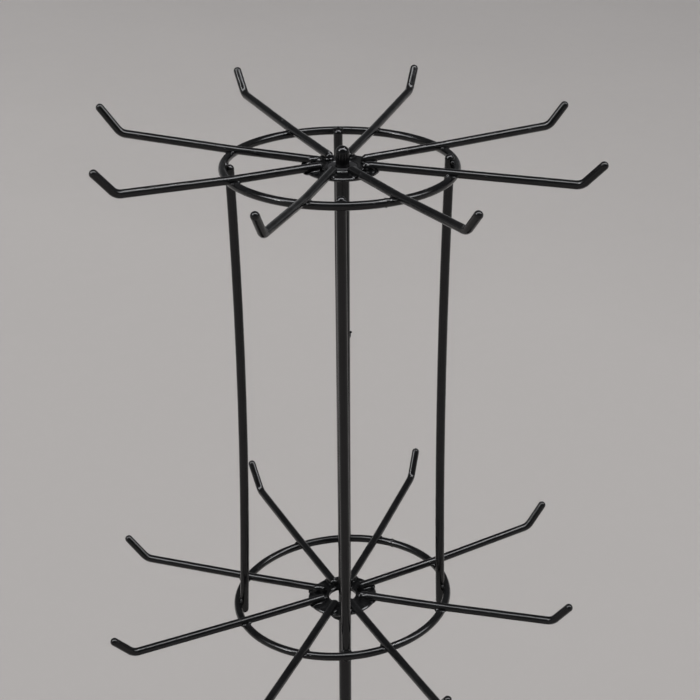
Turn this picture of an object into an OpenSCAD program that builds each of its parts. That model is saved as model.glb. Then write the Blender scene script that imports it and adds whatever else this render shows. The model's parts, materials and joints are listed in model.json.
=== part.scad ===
// Rotating counter display rack: a bent-wire rotor with two tiers of hooks that
// turns on a plain centre pole standing on a round steel base.
// Millimetres, +Z up. The origin is the centre of the surface the feet rest on,
// and the Z axis is the pole's axis, about which the whole rotor turns.

/* [Wheels] */
// Radius of each ring, to the middle of its wire
ring_r = 70; // [50:1:100]
// Diameter of the ring and hook wire over its enamel
wire_d = 5.2; // [4.2:0.1:6]
// Height of the lower ring above the table
lower_ring_z = 300; // [220:5:360]
// Distance from the lower ring up to the top ring
tier_gap = 302; // [200:1:400]
// Distance that the rings sit off the pole's axis, towards -X
wheel_offset = 1.7; // [0:0.1:2]
// Degrees that the lower wheel leans out of level
lower_lean = 3.5; // [0:0.1:4]
// Direction of the lower wheel's high side, in degrees round from +X
lower_lean_dir = 15; // [0:5:355]
// Degrees that the lower wheel's hooks are turned from those above
lower_twist = -1.5; // [-3:0.5:3]

/* [Hooks] */
// Hooks on each wheel
hooks_per_wheel = 8; // [8]
// Radius from the pole's axis to a top hook's inner end
top_hook_inner_r = 14.8; // [14:0.1:17]
// Radius from the ring's centre to a lower hook's inner end
lower_hook_inner_r = 13.5; // [13:0.5:16]
// Radius from the ring's centre to the corner of a hook's bend
hook_bend_r = 145; // [115:1:180]
// Degrees that a hook rises between the hub and the ring
hook_slope = 1; // [0.2:0.1:3]
// Degrees that a hook is bent further up past the ring
hook_lift = 1.3; // [0:0.1:3]
// Degrees that the turned-up end stands above level
hook_end_angle = 47; // [35:1:60]
// Length of the turned-up end, from the corner of the bend to the tip
hook_end_length = 20.5; // [14:0.5:30]
// Bend radius of the hook, to the middle of the wire
hook_bend = 8; // [6:0.5:12]

/* [Hubs] */
// Diameter of each hub plate
hub_plate_d = 45.5; // [40:0.5:50]
// Thickness of each hub plate
hub_plate_t = 2; // [1.5:0.5:3]
// Inside diameter of each hub collar
hub_bore_d = 18; // [17:0.5:20]
// Outside diameter of each hub collar
hub_collar_d = 22.5; // [21.5:0.5:24.5]
// Height of each hub collar above its plate
hub_collar_rise = 0.6; // [0.6:0.1:3]

/* [Uprights] */
// Diameter of the four upright wires over their enamel
upright_d = 5.8; // [4.2:0.1:6]
// Length of an upright that stands above the top ring's middle
upright_top = 4.5; // [3:0.5:8]
// Length of an upright that hangs below the lower ring's middle
upright_bottom = 6.5; // [4:0.5:10]
// How deep an upright is pressed into each ring by its weld
upright_bite = 1.4; // [0.2:0.1:1.4]
// Degrees that the uprights are turned from half way between the hooks
upright_turn = -2.2; // [-4:0.2:4]
// Inward bow of the right upright, half way up
right_upright_bow = 2.1; // [0:0.1:4]
// Inward bow of the left upright, half way up
left_upright_bow = 3; // [0:0.1:4]

/* [Pole] */
// Diameter of the centre pole over its enamel
pole_d = 8.4; // [7.2:0.1:9]
// Height of the pole's domed end above the top hub plate
pole_rise = 13; // [8:0.5:20]
// Radial running clearance of the pole in the top bush
running_clearance = 0.05; // [0.01:0.01:0.1]
// Distance of the lower retaining clip below the lower ring
lower_clip_drop = 15; // [12:1:30]
// Outside diameter of the lower retaining clip
lower_clip_d = 19.4; // [16:0.2:19.6]

/* [Base] */
// Diameter of the base plate
base_d = 280; // [220:5:320]
// Thickness of the base plate
base_t = 4; // [3:0.5:6]
// Height of the rubber feet
foot_h = 12; // [10.5:0.5:14]
// Diameter of a rubber foot
foot_d = 20; // [16:1:26]

/* [Hidden] */
WHEEL_NODES = ["ring", "hub_plate", "hub_collar", "hook_1", "hook_2", "hook_3", "hook_4",
    "hook_5", "hook_6", "hook_7", "hook_8"];
UPRIGHT_NODES = ["upright_right", "upright_back", "upright_left", "upright_front"];
$fn = 64;

// how each hand-bent, hand-welded hook strays from the others: degrees turned from
// even spacing, extra degrees bent up past the ring, extra reach and extra end length
TOP_HOOKS = [
    [-1.5, -0.5, 0, -2], [0, 0, 0, -1.5], [-0.5, 0, 0, -0.5], [-0.5, 0, -1, 2.2],
    [2, 0.5, -2.5, 1], [2.5, 2.4, -1.5, 1], [1.5, 0.7, 0, -1.5], [-1, -1.3, 2, 0]];
LOWER_HOOKS = [
    [0.5, 0.7, -0.5, 0], [-0.5, 1, 1, 2], [-0.5, 0, 0, 3.5], [0, -0.5, 0, 0.5],
    [0, -0.5, 2, -1], [-0.5, 0, 0, 0], [-1, 0, 1.5, -2], [-1, 0, 0, -1.5]];

// how each upright strays: degrees turned at its foot, degrees leaning round the ring,
// extra length at the top and extra length at the bottom
UPRIGHTS = [[0, 0, 2, 6], [-1.6, 0.2, -2.2, 0], [0, 0, -2.7, 2], [0.6, -0.3, 0, 0]];

// welded joints: how deep one wire bites into the next
weld_bite = 2.1;
plate_bite = 0.15;
// radius of the slight kink where a hook is bent up or down past the ring
kink_r = 60;
// a bend swells the wire a little, and the straight wire runs this far into it
bend_swell = 0.04;
bend_lap = 0.4;

// heights in a wheel's own frame, from the middle of its ring wire
hook_z_at_ring = wire_d - weld_bite;
plate_top = hook_z(lower_hook_inner_r) - wire_d / 2 + plate_bite;
plate_bottom = plate_top - hub_plate_t;
collar_top = plate_top + hub_collar_rise;

// a hook's bend
hook_turn = hook_end_angle - hook_slope;
bend_trim = hook_bend * tan(hook_turn / 2);

top_ring_z = lower_ring_z + tier_gap;
upright_r = ring_r - (wire_d + upright_d) / 2 + upright_bite;
upright_bows = [right_upright_bow, 0, left_upright_bow, 0];
hook_pitch = 360 / hooks_per_wheel;
first_hook = hook_pitch / 2;
edge = 0.5;

// the bush, washer and clip that carry the rotor under the top hub
bush_flange_d = 26;
bush_flange_t = 1.5;
bush_top_gap = 0.2;
washer_d = 17;
washer_t = 1;
washer_gap = 0.1;
clip_t = 1;
top_clip_d = 14;
groove_r = pole_d / 2 - 0.6;
bush_bottom = top_ring_z + plate_bottom - bush_flange_t;
washer_top = bush_bottom - washer_gap;
top_clip_z = washer_top - washer_t - clip_t;
lower_clip_z = lower_ring_z - lower_clip_drop;
clip_mouth = 50;
top_clip_dir = 90;
lower_clip_dir = 295;

// the base and its fastening: one nut and one washer on each side of the plate
nut_af = 13;
nut_h = 6.5;
base_washer_d = 16;
base_washer_t = 1.6;
thread_end = 1.5;
hole_clearance = 0.4;
slip_clearance = 0.2;
base_top = foot_h + base_t;
pole_bottom = foot_h - base_washer_t - nut_h - thread_end;
pole_top = top_ring_z + plate_top + pole_rise;
foot_count = 4;
foot_circle_r = base_d / 2 - foot_d / 2 - 8;
foot_taper = 2;

black = [0.06, 0.06, 0.06];
nylon = [0.11, 0.11, 0.12];
zinc = [0.72, 0.73, 0.75];
rubber_black = [0.09, 0.09, 0.09];

// height of a hook's wire at a radius inside the ring
function hook_z(r) = hook_z_at_ring - (ring_r - r) * tan(hook_slope);

function hook_angle(i, hooks) = first_hook + hook_pitch * i + hooks[i][0];

// height of the leaning lower wheel above its middle, at a point of the rotor
function lean_z(r, a) = r * sin(lower_lean) * cos(a - lower_lean_dir);

// a round bar along +X with slightly eased ends
module bar(d, l) {
    rotate([0, 90, 0]) {
        cylinder(d1 = d - 2 * edge, d2 = d, h = edge);
        translate([0, 0, edge]) cylinder(d = d, h = l - edge);
    }
}

// a bend that starts along +X and turns up by angle a, to its wire's middle r
module arc(d, r, a)
    translate([0, 0, r]) rotate([90, 0, 0]) rotate([0, 0, -90])
        rotate_extrude(angle = a) translate([r, 0]) circle(d = d);

// a bend and what follows it; a negative angle turns down
module after_bend(d, r, a) {
    if (a > 0) {
        arc(d + bend_swell, r, a);
        translate([r * sin(a), 0, r * (1 - cos(a))]) rotate([0, -a, 0]) children();
    } else if (a < 0) {
        mirror([0, 0, 1]) arc(d + bend_swell, r, -a);
        translate([r * sin(-a), 0, -r * (1 - cos(a))]) rotate([0, -a, 0]) children();
    } else
        children();
}

// straight wire along +X that laps into the bends before and after it
module straight_wire(l, lap_before, lap_after)
    translate([-lap_before, 0, 0]) rotate([0, 90, 0])
        cylinder(d = wire_d, h = lap_before + l + lap_after);

// one hook in its wheel's frame, pointing along +X from radius r
module hook(r, stray) {
    lift = hook_lift + stray[1];
    corner_r = hook_bend_r + stray[2];
    kink_trim = kink_r * tan(abs(lift) / 2);
    kink_lap = min(bend_lap, kink_trim / 2);
    inner = (ring_r - r) / cos(hook_slope) - kink_trim;
    outer = (corner_r - ring_r) / cos(hook_slope) - kink_trim - bend_trim;
    end = hook_end_length + stray[3] - bend_trim - wire_d / 2;
    translate([r, 0, hook_z(r)]) rotate([0, -hook_slope, 0]) {
        bar(wire_d, lift == 0 ? inner + outer + bend_lap : inner + kink_lap);
        translate([inner, 0, 0]) after_bend(wire_d, kink_r, lift) {
            if (lift != 0)
                straight_wire(outer, kink_lap, bend_lap);
            translate([outer, 0, 0]) after_bend(wire_d, hook_bend, hook_turn) {
                straight_wire(end, bend_lap, 0);
                translate([end, 0, 0]) sphere(d = wire_d);
            }
        }
    }
}

module ring() rotate_extrude() translate([ring_r, 0]) circle(d = wire_d);

// a flat ring with its outer edges eased
module eased_disc(outer_d, inner_d, h, ease)
    rotate_extrude() polygon([
        [inner_d / 2, 0], [outer_d / 2 - ease, 0], [outer_d / 2, ease],
        [outer_d / 2, h - ease], [outer_d / 2 - ease, h], [inner_d / 2, h]]);

module hub_plate()
    translate([0, 0, plate_bottom])
        eased_disc(hub_plate_d, hub_collar_d, hub_plate_t, edge);

module hub_collar()
    translate([0, 0, plate_bottom])
        rotate_extrude() polygon([
            [hub_bore_d / 2, 0], [hub_collar_d / 2, 0],
            [hub_collar_d / 2, collar_top - plate_bottom - edge],
            [hub_collar_d / 2 - edge, collar_top - plate_bottom],
            [hub_bore_d / 2 + edge, collar_top - plate_bottom],
            [hub_bore_d / 2, collar_top - plate_bottom - edge]]);

// places its children where the top hub, the top wheel or the lower wheel is
module on_top_hub() translate([0, 0, top_ring_z]) children();

module on_top() translate([-wheel_offset, 0, top_ring_z]) children();

module on_lower()
    translate([-wheel_offset, 0, lower_ring_z])
        rotate([0, 0, lower_lean_dir]) rotate([0, -lower_lean, 0])
            rotate([0, 0, lower_twist - lower_lean_dir]) children();

module top_hook(i)
    let (a = hook_angle(i, TOP_HOOKS)) color(black) on_top() rotate([0, 0, a])
        hook(top_hook_inner_r + wheel_offset * cos(a), TOP_HOOKS[i]);

module lower_hook(i)
    color(black) on_lower() rotate([0, 0, hook_angle(i, LOWER_HOOKS)])
        hook(lower_hook_inner_r, LOWER_HOOKS[i]);

module top_ring() color(black) on_top() ring();
module lower_ring() color(black) on_lower() ring();
module top_hub_plate() color(black) on_top_hub() hub_plate();
module lower_hub_plate() color(black) on_lower() hub_plate();
module top_hub_collar() color(black) on_top_hub() hub_collar();
module lower_hub_collar() color(black) on_lower() hub_collar();

// a wire of length l up from the origin that bows towards -X, as one shallow arc
module bowed_wire(l, bow) {
    r = (l * l / 4 + bow * bow) / (2 * bow);
    half_angle = asin(l / 2 / r);
    translate([r - bow, 0, l / 2]) rotate([90, 0, 0]) rotate([0, 0, 180 - half_angle])
        rotate_extrude(angle = 2 * half_angle, $fn = 3600)
            translate([r, 0]) circle(d = upright_d, $fn = 64);
}

// an upright wire inside both rings; paint beads round off its ends
module upright(i) {
    stray = UPRIGHTS[i];
    a = 90 * i + upright_turn + stray[0];
    low = lower_ring_z + lean_z(upright_r, a) - upright_bottom - stray[3] + upright_d / 2;
    high = top_ring_z + upright_top + stray[2] - upright_d / 2;
    color(black) translate([-wheel_offset, 0, low]) rotate([0, 0, a])
        translate([upright_r, 0, 0]) rotate([-stray[1], 0, 0]) {
            if (upright_bows[i] > 0)
                bowed_wire(high - low, upright_bows[i]);
            else
                cylinder(d = upright_d, h = high - low);
            for (z = [0, high - low])
                translate([0, 0, z]) sphere(d = upright_d + bend_swell);
        }
}

// flanged nylon bush pressed into the top collar; the pole runs in its bore
module top_bush() {
    bore_r = pole_d / 2 + running_clearance;
    bush_h = top_ring_z + collar_top - bush_top_gap - bush_bottom;
    color(nylon) translate([0, 0, bush_bottom])
        rotate_extrude() polygon([
            [bore_r, 0], [bush_flange_d / 2 - edge, 0], [bush_flange_d / 2, edge],
            [bush_flange_d / 2, bush_flange_t], [hub_bore_d / 2, bush_flange_t],
            [hub_bore_d / 2, bush_h], [bore_r + edge, bush_h], [bore_r, bush_h - edge]]);
}

module thrust_washer()
    color(zinc) translate([0, 0, washer_top - washer_t])
        eased_disc(washer_d, pole_d + slip_clearance, washer_t, 0.15);

// an E-shaped clip: a split ring with three prongs that sit in a groove of the pole
module retaining_clip(d) {
    arm = d * 0.17;
    rim_inner = d / 2 - arm;
    difference() {
        union() {
            difference() {
                cylinder(d = d, h = clip_t);
                translate([0, 0, -1]) cylinder(r = rim_inner, h = clip_t + 2);
            }
            for (a = [180 - 75, 180, 180 + 75])
                rotate([0, 0, a]) translate([groove_r, -arm / 2, 0])
                    cube([rim_inner + arm / 2 - groove_r, arm, clip_t]);
        }
        translate([0, 0, -1]) cylinder(r = groove_r, h = clip_t + 2);
        // the open mouth, along +X
        translate([0, 0, -1]) linear_extrude(clip_t + 2) polygon([
            [0, 0], [d * cos(clip_mouth), d * sin(clip_mouth)], [2 * d, 0],
            [d * cos(clip_mouth), -d * sin(clip_mouth)]]);
    }
}

module top_clip()
    color(zinc) translate([0, 0, top_clip_z]) rotate([0, 0, top_clip_dir])
        retaining_clip(top_clip_d);

module lower_clip()
    color(black) translate([0, 0, lower_clip_z]) rotate([0, 0, lower_clip_dir])
        retaining_clip(lower_clip_d);

// plain pole: chamfered below, domed above, with a groove for each clip
module pole() {
    r = pole_d / 2;
    color(black) difference() {
        union() {
            translate([0, 0, pole_bottom]) cylinder(r1 = r - 1, r2 = r, h = 1);
            translate([0, 0, pole_bottom + 1]) cylinder(r = r, h = pole_top - r - pole_bottom - 1);
            translate([0, 0, pole_top - r]) sphere(r = r);
        }
        for (z = [top_clip_z, lower_clip_z]) translate([0, 0, z]) difference() {
            cylinder(r = r + 1, h = clip_t);
            translate([0, 0, -1]) cylinder(r = groove_r, h = clip_t + 2);
        }
    }
}

// a hexagon nut with chamfered corners and a clearance bore for the threaded pole
module nut() {
    corner_r = nut_af / 2 / cos(30);
    chamfer = (corner_r - nut_af / 2) * tan(30);
    difference() {
        intersection() {
            cylinder(r = corner_r, h = nut_h, $fn = 6);
            rotate_extrude() polygon([
                [0, 0], [nut_af / 2, 0], [corner_r + 0.01, chamfer],
                [corner_r + 0.01, nut_h - chamfer], [nut_af / 2, nut_h], [0, nut_h]]);
        }
        translate([0, 0, -1]) cylinder(d = pole_d + slip_clearance, h = nut_h + 2);
    }
}

module pole_nuts() color(zinc) {
    translate([0, 0, base_top + base_washer_t]) nut();
    translate([0, 0, foot_h - base_washer_t - nut_h]) rotate([0, 0, 15]) nut();
}

module pole_washers() color(zinc) {
    for (z = [base_top, foot_h - base_washer_t]) translate([0, 0, z])
        eased_disc(base_washer_d, pole_d + hole_clearance, base_washer_t, 0.2);
}

module base_plate()
    color(black) translate([0, 0, foot_h])
        eased_disc(base_d, pole_d + hole_clearance, base_t, 1);

// round rubber feet stuck under the base plate
module rubber_feet() color(rubber_black)
    for (i = [0 : foot_count - 1])
        rotate([0, 0, 360 / foot_count * i]) translate([foot_circle_r, 0, 0]) {
            cylinder(d1 = foot_d - foot_taper - 2, d2 = foot_d - foot_taper, h = 1);
            translate([0, 0, 1]) cylinder(d1 = foot_d - foot_taper, d2 = foot_d, h = foot_h - 1);
        }

top_ring();
top_hub_plate();
top_hub_collar();
lower_ring();
lower_hub_plate();
lower_hub_collar();
for (i = [0 : hooks_per_wheel - 1]) {
    top_hook(i);
    lower_hook(i);
}
for (i = [0 : len(UPRIGHT_NODES) - 1])
    upright(i);
top_bush();
thrust_washer();
top_clip();
lower_clip();
pole();
pole_nuts();
pole_washers();
base_plate();
rubber_feet();
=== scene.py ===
# Rotating counter display rack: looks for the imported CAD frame.
# Metres, +Z up, the origin at the middle of the surface the feet rest on.
import json
import math
import random

import bmesh
import bpy
from mathutils import Matrix, Vector


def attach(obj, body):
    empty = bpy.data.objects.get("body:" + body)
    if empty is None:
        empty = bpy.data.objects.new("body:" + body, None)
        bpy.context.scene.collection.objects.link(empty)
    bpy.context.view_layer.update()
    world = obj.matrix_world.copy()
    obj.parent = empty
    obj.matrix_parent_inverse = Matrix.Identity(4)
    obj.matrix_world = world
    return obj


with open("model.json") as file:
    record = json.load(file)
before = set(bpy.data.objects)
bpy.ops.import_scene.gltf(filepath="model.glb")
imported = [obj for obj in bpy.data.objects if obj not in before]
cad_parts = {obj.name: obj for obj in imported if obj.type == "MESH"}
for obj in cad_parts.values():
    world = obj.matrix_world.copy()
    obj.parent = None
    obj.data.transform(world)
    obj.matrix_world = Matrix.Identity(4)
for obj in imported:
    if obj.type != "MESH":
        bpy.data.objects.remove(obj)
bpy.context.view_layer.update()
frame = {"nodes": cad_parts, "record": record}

SCENE = bpy.context.scene
NODES = frame["nodes"]

# driving sizes, as the CAD has them
MM = 0.001
WIRE_R = 2.6 * MM
RING_R = 70 * MM
WHEEL_OFFSET = 1.7 * MM         # both rings sit this far off the pole's axis, towards -X
TOP_Z = 602 * MM
LOWER_Z = 300 * MM
LOWER_LEAN = 3.5                # degrees out of level, as are all turns and leans here
LOWER_HIGH_SIDE = 15            # round from +X
LOWER_TWIST = -1.5
POLE_R = 4.2 * MM
TOP_HOOK_END = 14.8 * MM        # a top hook's inner end, from the pole's axis
LOWER_HOOK_END = 13.5 * MM      # a lower hook's inner end, from its ring's centre
HOOK_STEP = 45                  # degrees from one hook to the next, the first at half a step
HOOK_OVER_RING = 3.1 * MM       # a hook's middle above the ring's middle
HOOK_SLOPE = math.radians(1.0)
PLATE_BITE = 0.15 * MM          # how deep a hook sits in its hub plate
PLATE_TOP = HOOK_OVER_RING - (RING_R - LOWER_HOOK_END) * math.tan(HOOK_SLOPE) - WIRE_R + PLATE_BITE
TOP_TURNS = (-1.5, 0, -0.5, -0.5, 2, 2.5, 1.5, -1)
LOWER_TURNS = (0.5, -0.5, -0.5, 0, 0, -0.5, -1, -1)
THICK_ENDS = (3, 7)             # hooks whose hub end carries a longer run of weld
UPRIGHT_MIDDLE_R = 66 * MM      # to the nearest millimetre
UPRIGHT_TURNS = (-2.2, -3.8, -2.2, -1.6)
UPRIGHT_LEANS = (0, 0.2, 0, -0.3)


def hook_turn(index, stray):
    """A hook's direction in its wheel, in degrees."""
    return (index + 0.5) * HOOK_STEP + stray


def plain_view_transform():
    """Plain colour: what a material says is what the picture shows."""
    SCENE.view_settings.view_transform = "Standard"
    SCENE.view_settings.look = "None"


# ---------------------------------------------------------------- camera
def make_camera():
    psi = math.radians(3.98)
    pitch = math.radians(24.81)
    roll = math.radians(-0.21)
    data = bpy.data.cameras.new("camera")
    data.sensor_width = 36.0
    data.lens = 88.91
    data.clip_start, data.clip_end = 0.05, 60.0
    cam = bpy.data.objects.new("camera", data)
    SCENE.collection.objects.link(cam)
    turn = Matrix.Rotation(-psi, 4, "Z")
    place = turn @ Vector((0.0041, -0.9851, 0.0))
    place.z = TOP_Z + 0.334
    aim = turn @ Matrix.Rotation(math.pi / 2 - pitch, 4, "X") @ Matrix.Rotation(roll, 4, "Z")
    cam.matrix_world = Matrix.Translation(place) @ aim
    SCENE.camera = cam


# ---------------------------------------------------------------- node helpers
class Graph:
    """A material's node tree, built by short calls."""

    def __init__(self, name):
        self.mat = bpy.data.materials.new(name)
        self.mat.use_nodes = True
        self.nt = self.mat.node_tree
        self.nt.nodes.clear()
        self.out = self.nt.nodes.new("ShaderNodeOutputMaterial")
        self.bsdf = self.nt.nodes.new("ShaderNodeBsdfPrincipled")
        self.link(self.bsdf.outputs["BSDF"], self.out.inputs["Surface"])
        self.pos = self.nt.nodes.new("ShaderNodeTexCoord").outputs["Object"]

    def link(self, a, b):
        self.nt.links.new(a, b)

    def noise(self, scale, detail=2.0, rough=0.5, at=None):
        n = self.nt.nodes.new("ShaderNodeTexNoise")
        n.inputs["Scale"].default_value = scale
        n.inputs["Detail"].default_value = detail
        n.inputs["Roughness"].default_value = rough
        self.link(at or self.pos, n.inputs["Vector"])
        return n.outputs["Fac"]

    def stretched(self, sx, sy, sz):
        n = self.nt.nodes.new("ShaderNodeMapping")
        n.inputs["Scale"].default_value = (sx, sy, sz)
        self.link(self.pos, n.inputs["Vector"])
        return n.outputs["Vector"]

    def spread(self, value, lo, hi, a, b):
        n = self.nt.nodes.new("ShaderNodeMapRange")
        n.inputs["From Min"].default_value = lo
        n.inputs["From Max"].default_value = hi
        n.inputs["To Min"].default_value = a
        n.inputs["To Max"].default_value = b
        self.link(value, n.inputs["Value"])
        return n.outputs["Result"]

    def mix(self, fac, a, b):
        n = self.nt.nodes.new("ShaderNodeMix")
        n.data_type = "RGBA"
        self.link(fac, n.inputs["Factor"])
        n.inputs["A"].default_value = (*a, 1)
        n.inputs["B"].default_value = (*b, 1)
        return n.outputs["Result"]

    def bump(self, height, distance, strength=1.0, normal=None):
        n = self.nt.nodes.new("ShaderNodeBump")
        n.inputs["Distance"].default_value = distance
        n.inputs["Strength"].default_value = strength
        self.link(height, n.inputs["Height"])
        if normal is not None:
            self.link(normal, n.inputs["Normal"])
        return n.outputs["Normal"]


# ---------------------------------------------------------------- materials
def black_enamel(name, wave_scale, wave_depth, peel_scale, peel_depth, roughest):
    """Dipped black enamel: glossy, with slow waves, a fine orange peel and a few dust nibs."""
    g = Graph(name)
    b = g.bsdf
    b.inputs["IOR"].default_value = 1.38
    b.inputs["Coat Weight"].default_value = 0.12
    b.inputs["Coat Roughness"].default_value = 0.06
    b.inputs["Coat IOR"].default_value = 1.4
    tone = g.noise(70, 3, 0.6)
    g.link(g.mix(g.spread(tone, 0.35, 0.65, 0, 1), (0.0018, 0.0018, 0.0020), (0.0046, 0.0046, 0.0048)),
           b.inputs["Base Color"])
    g.link(g.spread(g.noise(160, 3, 0.6), 0.3, 0.7, 0.13, roughest), b.inputs["Roughness"])
    waves = g.bump(g.noise(wave_scale, 1, 0.4), wave_depth)
    peel = g.bump(g.noise(peel_scale, 2, 0.5), peel_depth, normal=waves)
    nibs = g.bump(g.spread(g.noise(420, 1, 0.3), 0.72, 0.78, 0, 1), 0.00010, normal=peel)
    g.link(nibs, b.inputs["Normal"])
    return g.mat


def black_nylon():
    g = Graph("black_nylon")
    b = g.bsdf
    b.inputs["IOR"].default_value = 1.53
    g.link(g.mix(g.noise(200, 2), (0.010, 0.010, 0.011), (0.018, 0.018, 0.019)), b.inputs["Base Color"])
    g.link(g.spread(g.noise(400, 3), 0.3, 0.7, 0.42, 0.55), b.inputs["Roughness"])
    g.link(g.bump(g.noise(2500, 2), 0.00004), b.inputs["Normal"])
    return g.mat


def black_rubber():
    g = Graph("black_rubber")
    b = g.bsdf
    b.inputs["IOR"].default_value = 1.5
    g.link(g.mix(g.noise(90, 4), (0.014, 0.014, 0.014), (0.030, 0.029, 0.028)), b.inputs["Base Color"])
    g.link(g.spread(g.noise(500, 3), 0.3, 0.7, 0.70, 0.88), b.inputs["Roughness"])
    g.link(g.bump(g.noise(1800, 3), 0.00010), b.inputs["Normal"])
    return g.mat


def black_spring_steel():
    g = Graph("black_spring_steel")
    b = g.bsdf
    b.inputs["Metallic"].default_value = 0.35
    g.link(g.mix(g.noise(300, 3), (0.012, 0.012, 0.013), (0.028, 0.027, 0.027)), b.inputs["Base Color"])
    g.link(g.spread(g.noise(700, 3), 0.3, 0.7, 0.40, 0.55), b.inputs["Roughness"])
    g.link(g.bump(g.noise(1500, 3), 0.00004), b.inputs["Normal"])
    return g.mat


def zinc_plated_steel():
    g = Graph("zinc_plated_steel")
    b = g.bsdf
    b.inputs["Metallic"].default_value = 1.0
    g.link(g.mix(g.noise(150, 4), (0.50, 0.51, 0.53), (0.66, 0.66, 0.66)), b.inputs["Base Color"])
    turned = g.stretched(1, 1, 14)
    g.link(g.spread(g.noise(600, 3, at=turned), 0.3, 0.7, 0.24, 0.40), b.inputs["Roughness"])
    g.link(g.bump(g.noise(1500, 2, at=turned), 0.00003), b.inputs["Normal"])
    return g.mat


def floor_paper():
    """Seamless studio paper: faint mottling, and painted shade that makes it a little darker far off to
    the right.
    """
    g = Graph("floor_paper")
    b = g.bsdf
    b.inputs["IOR"].default_value = 1.3
    # painted shade: the paper's colour darkens with the distance towards the far right, standing in for
    # light falling off there
    away = g.nt.nodes.new("ShaderNodeVectorMath")
    away.operation = "DOT_PRODUCT"
    away.inputs[1].default_value = (0.6, 1, 0)
    g.link(g.pos, away.inputs[0])
    shade = g.spread(away.outputs["Value"], 1.3, 3.4, 0, 1)
    mottle = g.spread(g.noise(2.2, 4, 0.6), 0.3, 0.7, -0.05, 0.05)
    # painted shade plus random mottling, mixed together into the paper's colour
    painted_shade_and_mottle = g.nt.nodes.new("ShaderNodeMath")
    painted_shade_and_mottle.operation = "ADD"
    g.link(shade, painted_shade_and_mottle.inputs[0])
    g.link(mottle, painted_shade_and_mottle.inputs[1])
    g.link(g.mix(painted_shade_and_mottle.outputs[0], (0.243, 0.230, 0.221), (0.186, 0.176, 0.170)),
           b.inputs["Base Color"])
    g.link(g.spread(g.noise(40, 2), 0, 1, 0.85, 0.95), b.inputs["Roughness"])
    return g.mat


MATERIALS = {
    "black_enamel": black_enamel("black_enamel", 90, 0.35 * MM, 700, 0.03 * MM, 0.24),
    "black_nylon": black_nylon(),
    "black_rubber": black_rubber(),
    "black_spring_steel": black_spring_steel(),
    "zinc_plated_steel": zinc_plated_steel(),
}
# the same enamel lies flatter on the pressed sheet of the base than on wire
SHEET_ENAMEL = black_enamel("black_enamel_sheet", 20, 0.12 * MM, 330, 0.008 * MM, 0.17)


def dress_cad_nodes():
    """Gives each CAD node the material of the record's slot."""
    for part in frame["record"]["subparts"]:
        mesh = NODES[part["node"]].data
        mesh.materials.clear()
        mesh.materials.append(MATERIALS[part["material_slot"]])
    base = NODES["base_plate"].data
    base.materials.clear()
    base.materials.append(SHEET_ENAMEL)


# ---------------------------------------------------------------- welds and paint
def lower_wheel():
    """The leaning lower wheel's own frame."""
    high = math.radians(LOWER_HIGH_SIDE)
    return (Matrix.Translation((-WHEEL_OFFSET, 0, LOWER_Z)) @ Matrix.Rotation(high, 4, "Z")
            @ Matrix.Rotation(math.radians(-LOWER_LEAN), 4, "Y")
            @ Matrix.Rotation(math.radians(LOWER_TWIST) - high, 4, "Z"))


def top_wheel():
    return Matrix.Translation((-WHEEL_OFFSET, 0, TOP_Z))


def turned(frame_matrix, degrees, x, z, y=0.0):
    """A place in a wheel: turned round its axis, then out by x, along by y and up by z."""
    return (frame_matrix @ Matrix.Rotation(math.radians(degrees), 4, "Z")
            @ Matrix.Translation((x, y, z)))


class WeldBatch:
    """Lumps of weld metal under paint, gathered into one mesh."""

    def __init__(self, name, seed):
        self.name = name
        self.bm = bmesh.new()
        self.rng = random.Random(seed)

    def lump(self, place, half, unevenness=0.10):
        """A rounded lump with half sizes along its own axes, and a hand-made unevenness."""
        made = bmesh.ops.create_icosphere(self.bm, subdivisions=3, radius=1.0)["verts"]
        phase = [self.rng.uniform(0, 6.28) for _ in range(3)]
        squash = [self.rng.uniform(0.93, 1.07) for _ in range(3)]
        for v in made:
            c = v.co
            ripple = (0.6 * math.sin(2.3 * c.x + phase[0]) * math.cos(2.9 * c.y + phase[1])
                      + 0.4 * math.sin(4.1 * c.z + phase[2]))
            swell = 1 + unevenness * ripple
            local = Vector((c.x * half[0] * squash[0], c.y * half[1] * squash[1],
                            c.z * half[2] * squash[2])) * swell
            v.co = place @ local

    def finish(self, body="rotor"):
        mesh = bpy.data.meshes.new(self.name)
        self.bm.to_mesh(mesh)
        self.bm.free()
        for poly in mesh.polygons:
            poly.use_smooth = True
        mesh.materials.append(MATERIALS["black_enamel"])
        obj = bpy.data.objects.new(self.name, mesh)
        SCENE.collection.objects.link(obj)
        fuse = obj.modifiers.new("fuse", "REMESH")
        fuse.mode = "VOXEL"
        fuse.voxel_size = 0.28 * MM
        fuse.use_smooth_shade = True
        flow = obj.modifiers.new("flow", "SMOOTH")
        flow.factor, flow.iterations = 0.5, 4
        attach(obj, body)


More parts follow.
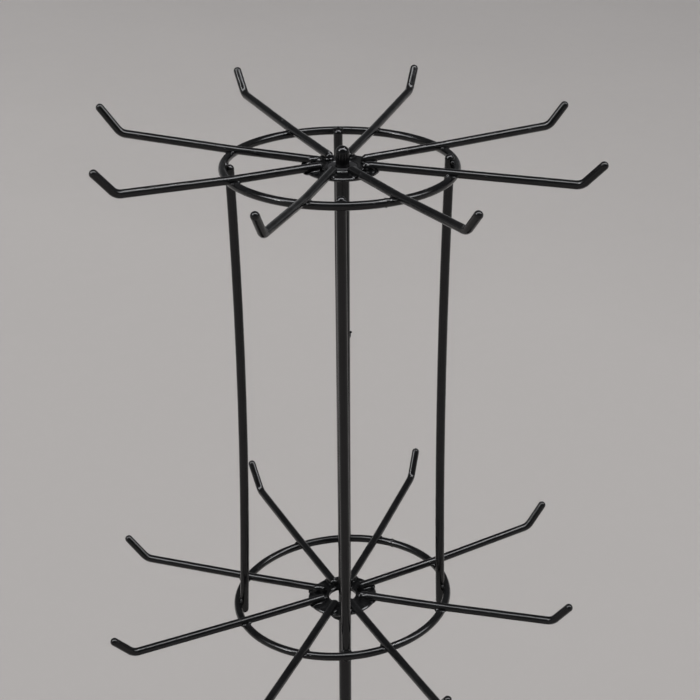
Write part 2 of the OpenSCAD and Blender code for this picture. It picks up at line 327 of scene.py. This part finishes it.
def hook_welds(name, seed, wheel, turns, inner_radii):
    """Where each hook crosses its ring and where it ends on its hub plate."""
    batch = WeldBatch(name, seed)
    for i, turn in enumerate(turns):
        a = hook_turn(i, turn)
        # flash squeezed out all round the crossing, between the two wires
        batch.lump(turned(wheel, a, RING_R, 1.5 * MM), (4.3 * MM, 4.3 * MM, 1.3 * MM), 0.12)
        for side in (-1, 1):
            batch.lump(turned(wheel, a, RING_R - 2.1 * MM, 1.9 * MM, side * 2.3 * MM),
                       (1.2 * MM, 1.15 * MM, 1.1 * MM))
        # fillets beside the hook's end, the bead that rounds it off, and a tack at the plate's rim
        end = inner_radii[i]
        for side in (-1, 1):
            batch.lump(turned(wheel, a, end + 4.2 * MM, PLATE_TOP + 0.3 * MM, side * 2.0 * MM),
                       (3.6 * MM, 1.35 * MM, 0.95 * MM), 0.16)
        batch.lump(turned(wheel, a, end + 0.2 * MM, PLATE_TOP + 2.1 * MM),
                   (2.2 * MM, 2.8 * MM, 2.55 * MM), 0.10)
        batch.lump(turned(wheel, a, end - 0.4 * MM, PLATE_TOP + 0.6 * MM),
                   (1.9 * MM, 2.9 * MM, 1.3 * MM), 0.15)
        if i in THICK_ENDS:
            batch.lump(turned(wheel, a, end + 3.6 * MM, PLATE_TOP + 2.3 * MM),
                       (4.6 * MM, 3.3 * MM, 2.95 * MM), 0.05)
        batch.lump(turned(wheel, a, 22.4 * MM, PLATE_TOP - 0.5 * MM),
                   (1.7 * MM, 3.6 * MM, 1.0 * MM), 0.12)
    batch.finish()


def upright_welds():
    """Where each upright is pressed against the inside of both rings."""
    batch = WeldBatch("upright_welds", 31)
    touch = RING_R - WIRE_R + 0.6 * MM
    top, low = top_wheel(), lower_wheel()
    for i in range(4):
        foot = 90 * i + UPRIGHT_TURNS[i]
        drift = (TOP_Z - LOWER_Z) * math.sin(math.radians(UPRIGHT_LEANS[i]))
        head = foot + math.degrees(math.asin(drift / UPRIGHT_MIDDLE_R))
        for wheel, a in ((top, head), (low, foot + 1.5)):
            batch.lump(turned(wheel, a, touch, 0), (1.2 * MM, 4.0 * MM, 3.7 * MM), 0.12)
            for side in (-1, 1):
                batch.lump(turned(wheel, a, touch - 0.6 * MM, 1.9 * MM, side * 2.2 * MM),
                           (1.2 * MM, 1.1 * MM, 1.2 * MM))
    batch.finish()


def paint_marks():
    """Each ring's butt weld, and a burr on a hook."""
    batch = WeldBatch("ring_splices", 43)
    for wheel, a in ((top_wheel(), 288.0), (lower_wheel(), 57.0)):
        batch.lump(turned(wheel, a, RING_R, 0), (WIRE_R * 1.13, 1.1 * MM, WIRE_R * 1.13), 0.05)
        batch.lump(turned(wheel, a + 0.9, RING_R + 0.4 * MM, 0.6 * MM),
                   (WIRE_R * 0.98, 1.0 * MM, WIRE_R * 0.95), 0.10)
    a = hook_turn(2, TOP_TURNS[2])
    batch.lump(turned(top_wheel(), a, 82 * MM, HOOK_OVER_RING + 2.5 * MM, 0.9 * MM),
               (1.5 * MM, 0.7 * MM, 1.1 * MM), 0.2)
    batch.finish()


def pole_nib():
    """A nib of paint on the pole's right side, with its run below it."""
    batch = WeldBatch("pole_paint_nib", 47)
    batch.lump(Matrix.Translation((POLE_R - 0.1 * MM, -0.4 * MM, 493 * MM)),
               (1.3 * MM, 1.0 * MM, 0.9 * MM), 0.2)
    batch.lump(Matrix.Translation((POLE_R - 0.3 * MM, -0.4 * MM, 490.8 * MM)),
               (0.9 * MM, 0.9 * MM, 2.0 * MM), 0.2)
    batch.finish("stand")


def make_welds():
    top_ends = [TOP_HOOK_END + WHEEL_OFFSET * math.cos(math.radians(hook_turn(i, stray)))
                for i, stray in enumerate(TOP_TURNS)]
    hook_welds("top_hook_welds", 7, top_wheel(), TOP_TURNS, top_ends)
    lower_ends = [LOWER_HOOK_END] * len(LOWER_TURNS)
    hook_welds("lower_hook_welds", 11, lower_wheel(), LOWER_TURNS, lower_ends)
    upright_welds()
    paint_marks()
    pole_nib()


# ---------------------------------------------------------------- stage and light
def make_stage():
    mesh = bpy.data.meshes.new("floor")
    half = 25.0
    mesh.from_pydata([(-half, -half, 0), (half, -half, 0), (half, half, 0), (-half, half, 0)], [],
                     [(0, 1, 2, 3)])
    mesh.materials.append(floor_paper())
    floor = bpy.data.objects.new("floor", mesh)
    SCENE.collection.objects.link(floor)


def soft_sun(name, towards, angle, strength):
    """A far round softbox, in the direction towards."""
    data = bpy.data.lights.new(name, "SUN")
    data.energy = strength
    data.angle = math.radians(angle)
    lamp = bpy.data.objects.new(name, data)
    SCENE.collection.objects.link(lamp)
    lamp.rotation_mode = "QUATERNION"
    lamp.rotation_quaternion = (-Vector(towards)).to_track_quat("-Z", "Y")


def make_world(fill, backdrop, bank, forward, half_width):
    """A dim room with a pale backdrop round it and one long bank of light overhead, left to right."""
    world = bpy.data.worlds.new("studio")
    SCENE.world = world
    world.use_nodes = True
    nodes, links = world.node_tree.nodes, world.node_tree.links

    def smooth_step(value, start, end, before, after):
        n = nodes.new("ShaderNodeMapRange")
        n.interpolation_type = "SMOOTHSTEP"
        n.inputs["From Min"].default_value = start
        n.inputs["From Max"].default_value = end
        n.inputs["To Min"].default_value = before
        n.inputs["To Max"].default_value = after
        links.new(value, n.inputs["Value"])
        return n.outputs["Result"]

    def maths(operation, *values):
        n = nodes.new("ShaderNodeMath")
        n.operation = operation
        for value, socket in zip(values, n.inputs):
            links.new(value, socket)
        return n.outputs[0]

    direction = nodes.new("ShaderNodeTexCoord").outputs["Generated"]
    # distance of a direction from the bank's middle plane, which leans towards the front
    off_plane = nodes.new("ShaderNodeVectorMath")
    off_plane.operation = "DOT_PRODUCT"
    off_plane.inputs[1].default_value = Vector((0, 1, forward)).normalized()
    links.new(direction, off_plane.inputs[0])
    parts = nodes.new("ShaderNodeSeparateXYZ")
    links.new(direction, parts.inputs[0])
    height = parts.outputs["Z"]

    in_bank = smooth_step(maths("ABSOLUTE", off_plane.outputs["Value"]),
                          half_width * 0.6, half_width * 1.4, bank, 0.0)
    overhead = smooth_step(height, 0.35, 0.65, 0.0, 1.0)
    room = smooth_step(height, 0.06, 0.30, backdrop, fill)
    background = nodes["Background"]
    background.inputs["Color"].default_value = (0.97, 0.98, 1.0, 1)
    links.new(maths("ADD", maths("MULTIPLY", in_bank, overhead), room), background.inputs["Strength"])


def make_light():
    make_world(fill=0.09, backdrop=0.38, bank=10.5, forward=0.19, half_width=0.13)
    soft_sun("softbox_left", (-0.77, -0.31, 0.56), 6, 0.55)
    soft_sun("softbox_right", (0.36, 0.05, 0.93), 5, 0.45)


make_camera()
plain_view_transform()
make_stage()
make_light()
dress_cad_nodes()
make_welds()
